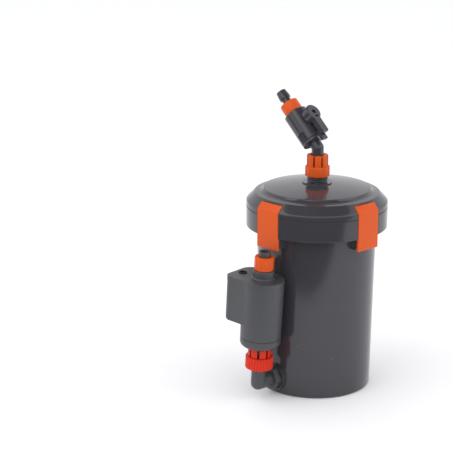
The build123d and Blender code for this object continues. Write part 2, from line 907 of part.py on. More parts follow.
# ---- outlet port: bulkhead from inside, gasket, locknut outside, then the elbow up to the pump
bulkhead_end = port_outer + locknut_width + 1.0
gasket_face = port_inner - gasket_thickness
turned(
    "port_bulkhead",
    port_frame,
    [
        (port_bore_r, gasket_face - port_flange),
        (port_flange_r, gasket_face - port_flange),
        (port_flange_r, gasket_face),
        (port_tube_r, gasket_face),
        (port_tube_r, bulkhead_end),
        (port_bore_r, bulkhead_end),
    ],
)
turned(
    "port_gasket",
    port_frame,
    [
        (port_tube_r, gasket_face),
        (port_flange_r - 0.5, gasket_face),
        (port_flange_r - 0.5, port_inner),
        (port_tube_r, port_inner),
    ],
)
with BuildPart() as port_locknut:
    with BuildSketch(port_frame.offset(port_outer)):
        RegularPolygon(locknut_flats / 2, 6, major_radius=False, rotation=30)
        Circle(port_tube_r, mode=Mode.SUBTRACT)
    extrude(amount=locknut_width)
    locknut_face = port_locknut.faces().sort_by(Axis(port_frame.origin, port_frame.z_dir))[-1]
    chamfer(locknut_face.outer_wire().edges(), 0.6)
write(port_locknut, "port_locknut")

pump_top = housing_top + cover_height
pump_tilt = radians(pump_lean)
pump_reach = wall_r(port_height + pump_top * cos(pump_tilt)) + corner_gap + pump_r
outward = port_frame.z_dir
sideways = Vector(0, 0, 1).cross(outward)
pump_dir = Vector(0, 0, 1) * cos(pump_tilt) + sideways * sin(pump_tilt)
corner_point = port_frame.origin + outward * pump_reach
motor_side = outward * cos(radians(motor_turn)) + pump_dir.cross(outward) * sin(radians(motor_turn))
pump = Plane(corner_point, x_dir=motor_side, z_dir=pump_dir)
cup_bore_r = inlet_neck_r + spigot_clearance

with BuildPart() as outlet_elbow:
    with BuildSketch(port_frame.offset(bulkhead_end)):
        Circle(outlet_tube_r)
    extrude(amount=pump_reach - bulkhead_end)
    with BuildSketch(port_frame.offset(bulkhead_end - elbow_insert)):
        Circle(port_bore_r)
    extrude(amount=elbow_insert + 1)
    with Locations(corner_point):
        Sphere(outlet_tube_r)
    with BuildSketch(section(pump)):
        with BuildLine():
            Polyline(
                (0, 0),
                (outlet_tube_r, 0),
                (outlet_tube_r, cup_start - cup_flare),
                (cup_r, cup_start),
                (cup_r, cup_top),
                (0, cup_top),
                close=True,
            )
        make_face()
    revolve(axis=axis_of(pump))
    with BuildSketch(port_frame.offset(bulkhead_end - elbow_insert - 1)):
        Circle(outlet_bore_r)
    extrude(amount=pump_reach - bulkhead_end + elbow_insert + 1, mode=Mode.SUBTRACT)
    with BuildSketch(pump):
        Circle(outlet_bore_r)
    extrude(amount=cup_top + 1, mode=Mode.SUBTRACT)
    with Locations(corner_point):
        Sphere(outlet_bore_r, mode=Mode.SUBTRACT)
    with BuildSketch(pump.offset(cup_start)):
        Circle(cup_bore_r)
    extrude(amount=cup_top - cup_start + 1, mode=Mode.SUBTRACT)
write(outlet_elbow, "outlet_elbow")

# ---- pump's lower cap with the inlet neck
cap_r = pump_r - pump_draft
cap_top = cap_start + cap_height
housing_bore_r = cap_r - pump_wall
neck_end = cup_start + 1.0
flange_base = cup_top + 0.1
cap_seal_at = cap_top + 2.0
inlet_seal_at = cup_top - 4.0
plug_r = housing_bore_r - port_clearance
plug_top = cap_top + 4.0
with BuildPart() as pump_cap:
    with BuildSketch(section(pump)) as cap_profile:
        with BuildLine():
            Polyline(
                (inlet_neck_bore_r, neck_end),
                (inlet_neck_r, neck_end),
                (inlet_neck_r, flange_base),
                (inlet_flange_r, flange_base),
                (inlet_flange_r, flange_base + inlet_flange),
                (inlet_neck_r, flange_base + inlet_flange),
                (inlet_neck_r, cap_start),
                (cap_r, cap_start),
                (cap_r, cap_top - cap_joint),
                (plug_r, cap_top - cap_joint),
                (plug_r, plug_top),
                (plug_r - plug_wall, plug_top),
                (plug_r - plug_wall, cap_start + cap_round),
                (cap_r - cap_round - pump_wall, cap_start + pump_wall),
                (inlet_neck_bore_r, cap_start + pump_wall),
                close=True,
            )
        make_face()
        fillet(cap_profile.vertices().sort_by_distance((cap_r, cap_start))[0], cap_round)
    revolve(axis=axis_of(pump))
    revolve(groove(pump, housing_bore_r, cap_seal_r, cap_seal_at), axis=axis_of(pump), mode=Mode.SUBTRACT)
    revolve(groove(pump, cup_bore_r, cap_seal_r, inlet_seal_at), axis=axis_of(pump), mode=Mode.SUBTRACT)
write(pump_cap, "pump_cap")
o_ring("pump_cap_seal", pump, housing_bore_r - cap_seal_r, cap_seal_r - seal_squeeze_gap, cap_seal_at)
o_ring("pump_inlet_seal", pump, cup_bore_r - cap_seal_r, cap_seal_r - seal_squeeze_gap, inlet_seal_at)

collet_nut(
    "pump_inlet_nut",
    pump,
    pump_inlet_start,
    red_band_r,
    red_band,
    red_crown_r,
    red_crown,
    cup_r + thread_clearance,
    flange_base + inlet_flange + thread_clearance,
    inlet_neck_r + collet_gap,
    red_slot_width,
    red_slot_angle,
)

# ---- pump housing: round chamber, motor block beside it, and the well that the rotor sits in
motor_bottom = pump_top - motor_height
motor_half = pump_r - motor_inset
motor_depth = pump_r + motor_reach
rotor_well_depth = pump_r + rotor_well_reach
cord_hole_y = -pump_r - cord_hole_out
motor_section = Plane(pump.origin, x_dir=pump.y_dir, z_dir=pump.x_dir)


def motor_block(inset, near, low, high):
    """The motor's rounded block, shrunk by inset on its outer walls, from y = -near to its far end."""
    with BuildPart(mode=Mode.PRIVATE) as block:
        with BuildSketch(pump.offset(low)) as plan:
            with Locations((0, -(motor_depth - inset + near) / 2)):
                Rectangle(2 * (motor_half - inset), motor_depth - inset - near)
            far_corners = plan.vertices().group_by(Axis.Y)[0].sort_by(Axis.X)
            fillet(far_corners[0], motor_back_round - inset)
            fillet(plan.vertices().group_by(Axis.Y)[0].sort_by(Axis.X)[-1], motor_front_round - inset)
        extrude(amount=high - low)
        with BuildSketch(motor_section) as side:
            with Locations((-(motor_depth - inset) / 2, (low + high) / 2)):
                Rectangle(motor_depth - inset, high - low)
            fillet(side.vertices().group_by(Axis.Y)[0].sort_by(Axis.X)[0], motor_foot_round - inset)
        extrude(amount=2 * pump_r, both=True, mode=Mode.INTERSECT)
    return block.part


rotor = Plane(pump.origin + pump.z_dir * rotor_height, x_dir=pump.x_dir, z_dir=-pump.y_dir)
well_outer_r = rotor_well_r + rotor_well_wall
well_end = rotor_well_depth + rotor_well_wall
cavity_near = pump_r
cavity_floor = motor_bottom + pump_wall

with BuildPart() as pump_housing:
    with BuildSketch(section(pump)):
        with BuildLine():
            Polyline((0, cap_top), (cap_r, cap_top), (pump_r, housing_top), (0, housing_top), close=True)
        make_face()
    revolve(axis=axis_of(pump))
    add(motor_block(0, 0, motor_bottom, housing_top))
    with BuildSketch(pump.offset(cap_top)):
        Circle(housing_bore_r)
    extrude(amount=housing_top - housing_roof - cap_top, mode=Mode.SUBTRACT)
    add(motor_block(pump_wall, cavity_near, cavity_floor, housing_top + 1), mode=Mode.SUBTRACT)
    with BuildSketch(rotor.offset(housing_bore_r - 1)):
        Circle(well_outer_r)
    extrude(amount=well_end - housing_bore_r + 1)
    with BuildSketch(rotor):
        Circle(rotor_well_r)
    extrude(amount=rotor_well_depth, mode=Mode.SUBTRACT)
    with BuildSketch(rotor.offset(-housing_bore_r - 1)):
        Circle(bushing_r + pump_wall)
    extrude(amount=housing_bore_r + 1 - front_bearing)
    with BuildSketch(rotor.offset(-front_bearing)):
        Circle(bushing_r)
    extrude(amount=-bushing_length, mode=Mode.SUBTRACT)
    with BuildSketch(pump.offset(cap_top)):
        Circle(outlet_hole_r)
    extrude(amount=housing_top, mode=Mode.SUBTRACT)
write(pump_housing, "pump_housing")

# ---- stator: core, bobbin, winding and potting, all in the motor block
core_near = cavity_near + stator_gap
core_far = core_near + core_thickness
leg_high = rotor_height + core_rise
leg_low = leg_high - core_leg
coil_half = coil_length / 2


def stator_box(half_x, low, high, near, far):
    """A block of the stator, drawn in the part that is open. low and high are heights in the pump."""
    middle = (low + high) / 2
    with BuildPart(mode=Mode.PRIVATE) as box:
        with BuildSketch(pump.offset(low)):
            with Locations((0, -(near + far) / 2)):
                Rectangle(2 * half_x, far - near)
        extrude(amount=2 * (middle - low))
    return box.part


with BuildPart() as stator_core:
    add(stator_box(core_width / 2, cavity_floor + core_lift, leg_high, core_near, core_far))
    with BuildSketch(rotor.offset(core_near - 1)):
        Circle(well_outer_r)
    extrude(amount=core_thickness + 2, mode=Mode.SUBTRACT)
    window = stator_box(coil_half + 0.5, leg_low - coil_window, leg_low, core_near - 1, core_far + 1)
    add(window, mode=Mode.SUBTRACT)
write(stator_core, "stator_core")



def round_leg(half_x, out):
    """A block round the core's upper leg, out from it on its four long sides."""
    return stator_box(half_x, leg_low - out, leg_high + out, core_near - out, core_far + out)


with BuildPart() as coil_bobbin:
    add(round_leg(coil_half, bobbin_wall))
    for side in (-1, 1):
        with BuildSketch(motor_section.offset(side * (coil_half - bobbin_wall / 2))):
            with Locations((-(core_near + core_far) / 2, (leg_low + leg_high) / 2)):
                Rectangle(core_thickness + 2 * bobbin_flange, core_leg + 2 * bobbin_flange)
        extrude(amount=bobbin_wall / 2, both=True)
    add(round_leg(coil_half + 1, 0), mode=Mode.SUBTRACT)
write(coil_bobbin, "coil_bobbin")

with BuildPart() as coil_winding:
    add(round_leg(coil_half - bobbin_wall, winding_build))
    add(round_leg(coil_half, bobbin_wall), mode=Mode.SUBTRACT)
write(coil_winding, "coil_winding")

with BuildPart() as potting:
    add(motor_block(pump_wall, cavity_near, cavity_floor, housing_top - potting_top_gap))
    for inner in (stator_core, coil_bobbin, coil_winding):
        add(inner.part, mode=Mode.SUBTRACT)
    with BuildSketch(rotor):
        Circle(well_outer_r)
    extrude(amount=well_end, mode=Mode.SUBTRACT)
write(potting, "potting")

# ---- rotor: shaft in two bushings, magnet and impeller
with BuildPart() as rotor_shaft:
    with BuildSketch(rotor.offset(-front_bearing - bushing_length)):
        Circle(shaft_r)
    extrude(amount=front_bearing + bushing_length + rotor_well_depth)
write(rotor_shaft, "rotor_shaft")

with BuildPart() as shaft_bushings:
    for start in (-front_bearing - bushing_length, rotor_well_depth - bushing_length):
        with BuildSketch(rotor.offset(start)):
            Circle(bushing_r)
            Circle(shaft_r, mode=Mode.SUBTRACT)
        extrude(amount=bushing_length)
write(shaft_bushings, "shaft_bushings")

with BuildPart() as rotor_magnet:
    with BuildSketch(rotor.offset(rotor_start)):
        Circle(rotor_r)
        Circle(shaft_r + shaft_clearance, mode=Mode.SUBTRACT)
    extrude(amount=rotor_well_depth - bushing_length - collar_gap - rotor_start)
write(rotor_magnet, "rotor_magnet")

with BuildPart() as impeller:
    with BuildSketch(rotor.offset(collar_gap - front_bearing)):
        Circle(impeller_hub_r)
    extrude(amount=rotor_start - collar_gap + front_bearing)
    with BuildSketch(rotor.offset(impeller_width / 2)):
        Circle(impeller_r)
    extrude(amount=impeller_plate)
    with BuildSketch(rotor.offset(-impeller_width / 2)):
        with PolarLocations((impeller_r + impeller_hub_r) / 2 - 0.5, blade_count):
            Rectangle(impeller_r - impeller_hub_r, blade_thickness)
    extrude(amount=impeller_width)
    with BuildSketch(rotor.offset(-front_bearing)):
        Circle(shaft_r + shaft_clearance)
    extrude(amount=front_bearing + rotor_start + 1, mode=Mode.SUBTRACT)
write(impeller, "impeller")

# ---- top cover with the outlet collar and the cord's hole, then the spigot, its nut and the grommet
nipple_base = pump_top + collar_height
outlet_nipple_end = nipple_base + nipple_length
with BuildPart() as pump_top_cover:
    with BuildSketch(pump.offset(housing_top)):
        Circle(pump_r + cover_lip)
    extrude(amount=cover_height)
    add(motor_block(-cover_lip, 0, housing_top - motor_foot_round, pump_top))
    with BuildSketch(pump.offset(housing_top - 2 * motor_foot_round)):
        Rectangle(4 * motor_depth, 4 * motor_depth)
    extrude(amount=2 * motor_foot_round, mode=Mode.SUBTRACT)
    with BuildSketch(section(pump)):
        with BuildLine():
            Polyline(
                (0, pump_top),
                (outlet_collar_r + collar_flare, pump_top),
                (outlet_collar_r + collar_flare, pump_top + collar_flare),
                (outlet_collar_r, pump_top + 2 * collar_flare),
                (outlet_collar_r, nipple_base - nut_edge),
                (outlet_collar_r - nut_edge, nipple_base),
                (nipple_r, nipple_base),
                (nipple_r, outlet_nipple_end),
                (0, outlet_nipple_end),
                close=True,
            )
        make_face()
    revolve(axis=axis_of(pump))
    with BuildSketch(pump.offset(housing_top - 1)):
        Circle(spigot_bore_r)
        with Locations((cord_hole_x, cord_hole_y)):
            Circle(grommet_r)
    extrude(amount=outlet_nipple_end, mode=Mode.SUBTRACT)
write(pump_top_cover, "pump_top_cover")

spigot_base = nipple_base + outlet_nut_height + collar_gap
turned(
    "outlet_spigot",
    pump,
    [
        (spigot_bore_r, outlet_nipple_end),
        (spigot_flange_r, outlet_nipple_end),
        (spigot_flange_r, outlet_nipple_end + spigot_flange),
        (spigot_neck_r, outlet_nipple_end + spigot_flange),
        (spigot_neck_r, spigot_base),
        (spigot_r, spigot_base),
        (spigot_r, spigot_base + spigot_height),
        (spigot_bore_r, spigot_base + spigot_height),
    ],
)
turned(
    "outlet_nut",
    pump,
    [
        (nipple_r + thread_clearance, nipple_base + thread_clearance),
        (outlet_nut_r - nut_edge, nipple_base + thread_clearance),
        (outlet_nut_r, nipple_base + thread_clearance + nut_edge),
        (outlet_nut_r, nipple_base + outlet_nut_height - nut_edge),
        (outlet_nut_r - nut_edge, nipple_base + outlet_nut_height),
        (spigot_neck_r + collet_gap, nipple_base + outlet_nut_height),
        (spigot_neck_r + collet_gap, outlet_nipple_end + spigot_flange + thread_clearance),
        (nipple_r + thread_clearance, outlet_nipple_end + spigot_flange + thread_clearance),
    ],
)

with BuildPart() as cord_grommet:
    with BuildSketch(pump.offset(housing_top)):
        with Locations((cord_hole_x, cord_hole_y)):
            Circle(grommet_r)
            Circle(grommet_bore_r, mode=Mode.SUBTRACT)
    extrude(amount=cover_height)
    with BuildSketch(pump.offset(pump_top)):
        with Locations((cord_hole_x, cord_hole_y)):
            Circle(grommet_r + grommet_lip)
            Circle(grommet_bore_r, mode=Mode.SUBTRACT)
    extrude(amount=grommet_lip)
write(cord_grommet, "cord_grommet")
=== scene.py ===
import json
from math import pi, radians

import bpy
import numpy as np
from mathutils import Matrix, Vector


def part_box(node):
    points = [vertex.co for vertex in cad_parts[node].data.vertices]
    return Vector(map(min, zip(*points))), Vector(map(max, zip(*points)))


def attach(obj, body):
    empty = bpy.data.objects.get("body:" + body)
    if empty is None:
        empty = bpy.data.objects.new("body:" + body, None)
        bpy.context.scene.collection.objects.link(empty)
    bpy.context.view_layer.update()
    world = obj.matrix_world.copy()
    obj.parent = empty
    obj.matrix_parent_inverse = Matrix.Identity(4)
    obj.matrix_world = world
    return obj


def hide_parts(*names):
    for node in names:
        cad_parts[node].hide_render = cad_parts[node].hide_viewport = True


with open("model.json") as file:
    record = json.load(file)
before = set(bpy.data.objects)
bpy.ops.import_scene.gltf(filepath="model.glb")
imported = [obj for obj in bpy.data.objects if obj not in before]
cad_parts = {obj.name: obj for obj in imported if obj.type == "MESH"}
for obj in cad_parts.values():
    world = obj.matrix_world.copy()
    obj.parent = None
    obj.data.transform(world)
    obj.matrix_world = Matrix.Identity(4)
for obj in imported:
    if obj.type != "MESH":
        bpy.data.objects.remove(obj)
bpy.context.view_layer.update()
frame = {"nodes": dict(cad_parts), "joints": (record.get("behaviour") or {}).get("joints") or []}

mm = 0.001


class Wire:
    # one output of a node; sums on it add their own Math nodes
    def __init__(self, paint, socket):
        self.paint = paint
        self.socket = socket

    def __add__(self, other):
        return self.paint.math("ADD", self, other)

    def __sub__(self, other):
        return self.paint.math("SUBTRACT", self, other)

    def __rsub__(self, other):
        return self.paint.math("SUBTRACT", other, self)

    def __mul__(self, other):
        return self.paint.math("MULTIPLY", self, other)

    def __truediv__(self, other):
        return self.paint.math("DIVIDE", self, other)

    def __pow__(self, other):
        return self.paint.math("POWER", self, other)

    __radd__ = __add__
    __rmul__ = __mul__


class Paint:
    # the node tree of one finish
    def __init__(self, name):
        self.material = bpy.data.materials.new(name)
        self.material.use_nodes = True
        self.tree = self.material.node_tree
        self.tree.nodes.clear()
        self.shader = self.tree.nodes.new("ShaderNodeBsdfPrincipled")
        self.node("ShaderNodeOutputMaterial", {}, {"Surface": Wire(self, self.shader.outputs[0])}, None)
        self.place = self.node("ShaderNodeTexCoord", {}, {}, "Object")

    def node(self, kind, settings, sockets, output=0):
        made = self.tree.nodes.new(kind)
        for name, value in settings.items():
            setattr(made, name, value)
        self.fill(made, sockets)
        return None if output is None else Wire(self, made.outputs[output])

    def fill(self, made, sockets):
        for name, value in sockets.items():
            if isinstance(value, Wire):
                self.tree.links.new(value.socket, made.inputs[name])
            else:
                made.inputs[name].default_value = value

    def math(self, operation, first, second):
        return self.node("ShaderNodeMath", {"operation": operation}, {0: first, 1: second})

    def noise(self, size, detail=2.0, stretch=(1, 1, 1)):
        # 0 to 1, with features about size metres across, longer where stretch is under 1
        place = self.node("ShaderNodeMapping", {}, {"Vector": self.place, "Scale": stretch})
        return self.node("ShaderNodeTexNoise", {}, {"Vector": place, "Scale": 1 / size, "Detail": detail})

    def cells(self, size, output="Distance", feature="F1"):
        return self.node(
            "ShaderNodeTexVoronoi", {"feature": feature}, {"Vector": self.place, "Scale": 1 / size}, output
        )

    def lines(self, pitch, along, bend=0.0):
        # 0 to 1, straight bands across the axis named by along
        return self.node(
            "ShaderNodeTexWave",
            {"bands_direction": along},
            {"Vector": self.place, "Scale": 0.314 / pitch, "Distortion": bend, "Detail Scale": 4.0},
            "Fac",
        )

    def ramp(self, value, low, high):
        # 0 below low, 1 above high, smooth between
        return self.node(
            "ShaderNodeMapRange",
            {"interpolation_type": "SMOOTHSTEP"},
            {"Value": value, "From Min": low, "From Max": high},
        )

    def blend(self, amount, first, second):
        first, second = (c if isinstance(c, Wire) else (*c, 1.0) for c in (first, second))
        return self.node("ShaderNodeMix", {"data_type": "RGBA"}, {0: amount, 6: first, 7: second}, 2)

    def specks(self, size, share):
        # round dots in the given share of the cells
        dot = 1 - self.ramp(self.cells(size), 0.10, 0.16)
        chosen = self.node("ShaderNodeSeparateColor", {}, {"Color": self.cells(size, "Color")})
        return dot * self.ramp(chosen, 1 - share, 1 - share + 0.01)

    def bump(self, height, depth, under=None):
        sockets = {"Height": height, "Distance": depth, "Strength": 1.0}
        if under is not None:
            sockets["Normal"] = under
        return self.node("ShaderNodeBump", {}, sockets)

    def rounded(self, radius):
        return self.node("ShaderNodeBevel", {"samples": 6}, {"Radius": radius})

    def done(self, sockets):
        self.fill(self.shader, sockets)
        return self.material


dustColour = (0.30, 0.29, 0.27)


def mouldedPlastic(name, look):
    # injection moulded: slow shade and gloss patches, shallow sink marks, fine orange peel, a little dust
    paint = Paint(name)
    patches = paint.noise(look["patch"], 3)
    smears = paint.noise(0.014, 4, (1, 1, 0.3))
    peel = paint.noise(look["peel"], 2)
    sink = paint.noise(0.045, 1)
    dust = paint.specks(0.0035, look["dust"])
    colour = paint.blend(patches, look["dark"], look["light"])
    colour = paint.blend(dust * 0.5, colour, dustColour)
    gloss = look["roughness"] + (smears - 0.5) * look["smear"] + dust * 0.25
    normal = paint.rounded(look["edge"])
    normal = paint.bump(sink, look["sink"], normal)
    normal = paint.bump(peel, look["grain"], normal)
    return paint.done({
        "Base Color": colour, "Roughness": gloss, "Normal": normal,
        "IOR": look["ior"], "Coat Weight": look["coat"], "Coat Roughness": 0.08,
    })


def softRubber(name, look):
    paint = Paint(name)
    bloom = paint.noise(0.004, 4)
    grain = paint.noise(0.0004, 2)
    colour = paint.blend(bloom, look["dark"], look["light"])
    return paint.done({
        "Base Color": colour,
        "Roughness": 0.62 + bloom * 0.2,
        "Normal": paint.bump(grain, 0.00002, paint.rounded(0.0003)),
    })


def bareMetal(name, look):
    # drawn or stacked metal: fine lines along one axis, with dull patches
    paint = Paint(name)
    drawn = paint.lines(look["pitch"], look["along"], 0.6)
    dull = paint.noise(0.003, 4)
    colour = paint.blend(drawn * 0.6 + dull * 0.4, look["dark"], look["light"])
    return paint.done({
        "Base Color": colour,
        "Metallic": 1.0,
        "Roughness": look["roughness"] + dull * 0.18,
        "Normal": paint.bump(drawn, look["groove"], paint.rounded(0.0002)),
    })


def openFoam(name, look):
    # open-cell foam: pores of two sizes with painted shade inside them, on a skeleton that catches the light
    paint = Paint(name)
    large = paint.cells(look["pore"])
    small = paint.cells(look["pore"] * 0.45)
    pore_depth_and_shade = paint.ramp(large * 0.7 + small * 0.3, 0.18, 0.55)
    stain = paint.noise(0.02, 3)
    skeleton = paint.blend(stain, look["dark"], look["light"])
    # the pores take the darkest colour: painted shade in their hollows
    colour = paint.blend(pore_depth_and_shade, look["pore_shade"], skeleton)
    return paint.done({
        "Base Color": colour,
        "Roughness": 0.85 + stain * 0.1,
        "Normal": paint.bump(pore_depth_and_shade, 0.0006),
        "Sheen Weight": 0.15,
    })


def flossFelt(name, look):
    # matted fibre: long thin noise one way and the other, over slow clumps
    paint = Paint(name)
    across = paint.noise(0.0006, 3, (1, 0.12, 1))
    along = paint.noise(0.0006, 3, (0.12, 1, 1))
    clump = paint.noise(0.008, 4)
    fibre = paint.math("MAXIMUM", across, along) * 0.7 + clump * 0.3
    return paint.done({
        "Base Color": paint.blend(fibre, look["dark"], look["light"]),
        "Roughness": 0.9,
        "Normal": paint.bump(fibre, 0.0008),
        "Sheen Weight": 0.3,
    })


def hardSolid(name, look):
    # pressed or cast solid: mottled colour, fine grain
    paint = Paint(name)
    mottle = paint.noise(look["mottle"], 4)
    grain = paint.noise(0.0003, 3)
    colour = paint.blend(mottle, look["dark"], look["light"])
    return paint.done({
        "Base Color": colour,
        "Roughness": look["roughness"] + mottle * 0.12,
        "Normal": paint.bump(grain, look["grain"], paint.rounded(0.0002)),
    })


glossBlack = {
    "dark": (0.040, 0.040, 0.047), "light": (0.045, 0.045, 0.052), "patch": 0.05, "roughness": 0.14,
    "smear": 0.06, "dust": 0.01, "peel": 0.0016, "grain": 0.000012, "sink": 0.0002, "edge": 0.0006,
    "ior": 1.52, "coat": 0.0,
}
satinGrey = glossBlack | {
    "dark": (0.056, 0.057, 0.062), "light": (0.064, 0.065, 0.071), "roughness": 0.40, "smear": 0.12,
    "peel": 0.0009, "grain": 0.00003, "sink": 0.0002, "ior": 1.48,
}
clipOrange = glossBlack | {
    "dark": (0.63, 0.076, 0.002), "light": (0.69, 0.090, 0.004), "patch": 0.03, "roughness": 0.38,
    "smear": 0.14, "dust": 0.01, "peel": 0.0012, "grain": 0.00002, "sink": 0.0002, "ior": 1.36,
}
nutRed = clipOrange | {"dark": (0.62, 0.019, 0.003), "light": (0.70, 0.027, 0.005)}
innerBlack = satinGrey | {"dark": (0.010, 0.010, 0.011), "light": (0.016, 0.016, 0.017), "roughness": 0.45}

finishes = {
    "dark_plastic": mouldedPlastic("glossy dark moulding", glossBlack),
    "pump_plastic": mouldedPlastic("satin grey moulding", satinGrey),
    "orange_plastic": mouldedPlastic("orange moulding", clipOrange),
    "red_plastic": mouldedPlastic("red moulding", nutRed),
    "black_plastic": mouldedPlastic("inner black moulding", innerBlack),
    "seal_rubber": softRubber("seal rubber", {"dark": (0.008, 0.008, 0.009), "light": (0.02, 0.02, 0.021)}),
    # the pin colours are kept far darker than bare stainless: painted shade, so the pins read dark in the
    # holes they sit in
    "stainless_pin": bareMetal("stainless pin, darkened for painted shade", {
        "dark": (0.05, 0.05, 0.055), "light": (0.12, 0.12, 0.125), "pitch": 0.0003, "along": "Z",
        "roughness": 0.3, "groove": 0.000004,
    }),
    "core_steel": bareMetal("stacked core steel", {
        "dark": (0.16, 0.17, 0.19), "light": (0.34, 0.35, 0.37), "pitch": 0.0005, "along": "X",
        "roughness": 0.35, "groove": 0.00003,
    }),
    "copper_wire": bareMetal("wound copper wire", {
        "dark": (0.33, 0.09, 0.03), "light": (0.80, 0.32, 0.15), "pitch": 0.0003, "along": "X",
        "roughness": 0.22, "groove": 0.00008,
    }),
    # each foam's third, darkest colour is painted shade deep in its pores
    "yellow_foam": openFoam("yellow coarse foam", {
        "dark": (0.72, 0.46, 0.05), "light": (0.86, 0.60, 0.09), "pore_shade": (0.20, 0.11, 0.01), "pore": 0.0022,
    }),
    "blue_foam": openFoam("blue medium foam", {
        "dark": (0.03, 0.19, 0.55), "light": (0.05, 0.28, 0.70), "pore_shade": (0.005, 0.03, 0.12), "pore": 0.0017,
    }),
    "black_foam": openFoam("black fine foam", {
        "dark": (0.022, 0.022, 0.024), "light": (0.045, 0.045, 0.048), "pore_shade": (0.004, 0.004, 0.004),
        "pore": 0.0013,
    }),
    "white_floss": flossFelt("white floss", {"dark": (0.62, 0.61, 0.58), "light": (0.88, 0.88, 0.86)}),
    "valve_ball": hardSolid("valve ball", {
        "dark": (0.55, 0.55, 0.56), "light": (0.66, 0.66, 0.67), "mottle": 0.004,
        "roughness": 0.12, "grain": 0.000002,
    }),
    "ptfe": hardSolid("white seat", {
        "dark": (0.74, 0.74, 0.72), "light": (0.84, 0.84, 0.82), "mottle": 0.002,
        "roughness": 0.4, "grain": 0.000006,
    }),
    "potting_resin": hardSolid("potting resin", {
        "dark": (0.010, 0.010, 0.011), "light": (0.022, 0.021, 0.02), "mottle": 0.006, "roughness": 0.18,
        "grain": 0.000004,
    }),
    "magnet": hardSolid("ferrite magnet", {
        "dark": (0.035, 0.035, 0.038), "light": (0.075, 0.075, 0.08), "mottle": 0.0015, "roughness": 0.38,
        "grain": 0.00001,
    }),
    "shaft_ceramic": hardSolid("white ceramic", {
        "dark": (0.78, 0.77, 0.74), "light": (0.86, 0.85, 0.83), "mottle": 0.002,
        "roughness": 0.16, "grain": 0.000002,
    }),
}

for node in frame["nodes"].values():
    for slot in node.material_slots:
        slotName = slot.material.name.split(".")[0]
        slot.material = finishes[slotName]
    node.data.shade_smooth()
    weld = node.modifiers.new("weld", "WELD")
    weld.merge_threshold = 0.000002
    split = node.modifiers.new("crease", "EDGE_SPLIT")
    split.split_angle = radians(28)
print("finishes on", len(frame["nodes"]), "nodes")


class Spindle:
    # a joint's axis: its origin, its direction and two directions across it
    def __init__(self, jointName):
        joint = next(j for j in frame["joints"] if j["name"] == jointName)
        self.origin = np.array(joint["pos_m"], float)
        self.up = np.array(joint["axis"], float)
        self.up /= np.linalg.norm(self.up)
        across = np.cross(self.up, (0.0, 1.0, 0.0))
        self.right = across / np.linalg.norm(across)
        self.front = np.cross(self.up, self.right)

    def point(self, radius, angle, height):
        # origin + radius * (cos angle * right + sin angle * front) + height * up
        return (
            self.origin
            + (radius * np.cos(angle))[..., None] * self.right
            + (radius * np.sin(angle))[..., None] * self.front
            + height[..., None] * self.up
        )

    def measure(self, nodeName):
        # each vertex of a node as its distance from the axis, its angle and its height
        mesh = frame["nodes"][nodeName].data
        found = np.empty(3 * len(mesh.vertices))
        mesh.vertices.foreach_get("co", found)
        away = found.reshape(-1, 3) - self.origin
        height = away @ self.up
        side = away @ self.right
        ahead = away @ self.front
        return np.hypot(side, ahead), np.arctan2(ahead, side), height


def gridFaces(rows, columns, closeRows, closeColumns, first=0):
    # quads of a rows x columns grid, wrapped in either direction where asked
    r = np.arange(rows if closeRows else rows - 1)[:, None]
    c = np.arange(columns if closeColumns else columns - 1)[None, :]
    r2, c2 = (r + 1) % rows, (c + 1) % columns
    corners = [r * columns + c, r * columns + c2, r2 * columns + c2, r2 * columns + c]
    return (np.stack(np.broadcast_arrays(*corners), -1).reshape(-1, 4) + first).tolist()


def piece(name, points, faces, body, slotName, replaced=(), crease=None):
    mesh = bpy.data.meshes.new(name)
    mesh.from_pydata(np.asarray(points).reshape(-1, 3).tolist(), [], faces)
    mesh.materials.append(finishes[slotName])
    mesh.shade_smooth()
    if crease is not None:
        mesh.set_sharp_from_angle(angle=radians(crease))
    made = bpy.data.objects.new(name, mesh)
    bpy.context.scene.collection.objects.link(made)
    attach(made, body)
    if replaced:
        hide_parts(*replaced)
    return made


def roundedLoop(corners, radius, steps=4):
    # a closed outline with eased corners, between two cut points each:
    # (1 - t) ** 2 * start + 2 * t * (1 - t) * corner + t ** 2 * stop
    corners = np.asarray(corners, float)
    before = np.roll(corners, 1, 0) - corners
    after = np.roll(corners, -1, 0) - corners
    reach = np.minimum(np.linalg.norm(before, axis=1), np.linalg.norm(after, axis=1)) * 0.45
    reach = np.minimum(reach, radius)[:, None]
    start = corners + before / np.linalg.norm(before, axis=1)[:, None] * reach
    stop = corners + after / np.linalg.norm(after, axis=1)[:, None] * reach
    t = np.linspace(0, 1, steps)[None, :, None]
    curve = (1 - t) ** 2 * start[:, None] + 2 * t * (1 - t) * corners[:, None] + t**2 * stop[:, None]
    return curve.reshape(-1, 2)


print("camera and floor")
view = {"place": (-0.0475, -1.7009, 0.6619), "tilt": 74.32, "turn": 1.87, "lens": 123.43, "sensor": 36.0}
cameraData = bpy.data.cameras.new("camera")
cameraData.lens = view["lens"]
cameraData.sensor_width = view["sensor"]
cameraData.clip_end = 30.0
camera = bpy.data.objects.new("camera", cameraData)
camera.location = view["place"]
camera.rotation_euler = (radians(view["tilt"]), 0.0, radians(view["turn"]))
bpy.context.scene.collection.objects.link(camera)
bpy.context.scene.camera = camera

studio = {
    "floorSize": 9.0, "floorColour": (0.90, 0.90, 0.905), "worldStrength": 1.0, "floorGlow": 0.1,
}
darkCards = {
    "front_card": {"near": (0.0, -0.41, 0.0005), "turn": 18.0, "half": 3.0, "depth": 4.0},
    "top_card": {"near": (0.0, 0.55, 1.3), "turn": 0.0, "half": 0.75, "depth": 1.3},
}


